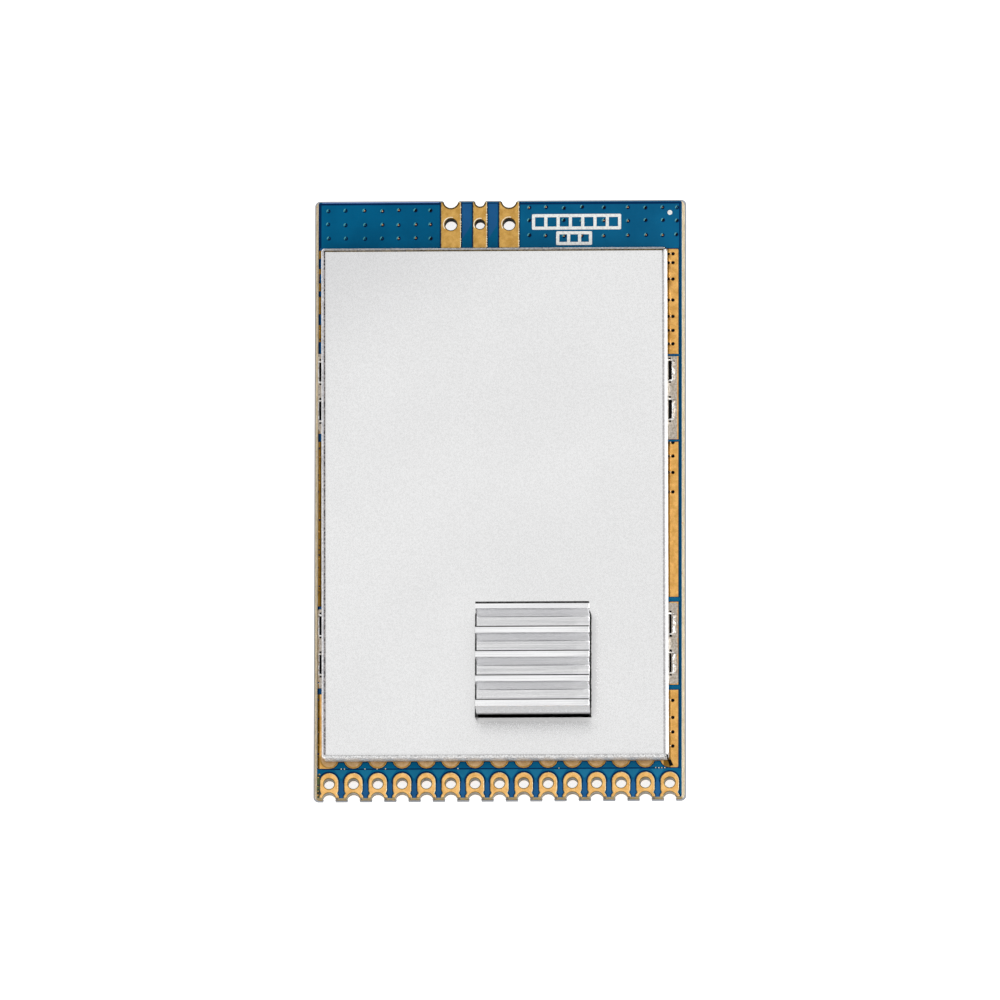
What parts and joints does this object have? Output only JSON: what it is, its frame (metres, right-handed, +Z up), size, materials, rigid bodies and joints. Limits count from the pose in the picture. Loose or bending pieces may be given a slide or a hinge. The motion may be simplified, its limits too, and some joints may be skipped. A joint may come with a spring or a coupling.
{
  "type": "long-range radio module",
  "caption": "Flat rectangular radio module: a blue circuit board with plated half-hole pads on its short edges, a large folded shield can and a small finned heatsink.",
  "frame": {"origin": "middle of the underside, where the module lies on its host board", "axes": "+Y along the board towards the antenna pads, +X to the right seen from above, +Z up through the shield can"},
  "size_m": [0.0304, 0.05, 0.0081],
  "materials": {
    "fibreglass": "woven glass and resin, cut edge",
    "blue_mask": "semi-gloss film",
    "gold": "thin gold plating on copper",
    "nickel_silver": "matte rolled sheet",
    "solder": "satin tin",
    "aluminium": "as extruded and sawn",
    "black_adhesive": "cured, dull",
    "thermal_pad": "soft, dull",
    "moulded_black": "moulded epoxy",
    "ceramic": "fired ceramic with tinned ends",
    "lidded_ceramic": "metal lid on a ceramic base",
    "ferrite": "pressed ferrite powder"
  },
  "bodies": {
    "root": {"circuit_board": "fibreglass", "solder_mask_top": "blue_mask", "solder_mask_bottom": "blue_mask", "shield_ground_ring": "gold", "shield_can": "nickel_silver", "heatsink": "aluminium", "thermal_adhesive": "black_adhesive", "pad_01": "gold", "pad_02": "gold", "pad_03": "gold", "pad_04": "gold", "pad_05": "gold", "pad_06": "gold", "pad_07": "gold", "pad_08": "gold", "pad_09": "gold", "pad_10": "gold", "pad_11": "gold", "pad_12": "gold", "pad_13": "gold", "pad_14": "gold", "pad_15": "gold", "antenna_ground_pad_left": "gold", "antenna_feed_pad": "gold", "antenna_ground_pad_right": "gold", "solder_joint_left_1": "solder", "solder_joint_left_2": "solder", "solder_joint_right_1": "solder", "solder_joint_right_2": "solder", "inner_thermal_pad": "thermal_pad", "baseband_processor": "moulded_black", "microcontroller": "moulded_black", "transceiver_a": "moulded_black", "transceiver_b": "moulded_black", "power_amplifier": "moulded_black", "low_noise_amplifier": "moulded_black", "antenna_switch": "moulded_black", "voltage_regulator_a": "moulded_black", "voltage_regulator_b": "moulded_black", "power_inductor": "ferrite", "saw_filter_a": "lidded_ceramic", "saw_filter_b": "lidded_ceramic", "reference_oscillator": "lidded_ceramic", "clock_crystal": "lidded_ceramic", "chip_capacitor_1": "ceramic", "chip_capacitor_2": "ceramic", "chip_capacitor_3": "ceramic", "chip_capacitor_4": "ceramic", "chip_capacitor_5": "ceramic", "chip_capacitor_6": "ceramic", "chip_capacitor_7": "ceramic", "chip_capacitor_8": "ceramic", "chip_resistor_1": "moulded_black", "chip_resistor_2": "moulded_black", "chip_resistor_3": "moulded_black", "chip_resistor_4": "moulded_black"}
  },
  "joints": []
}
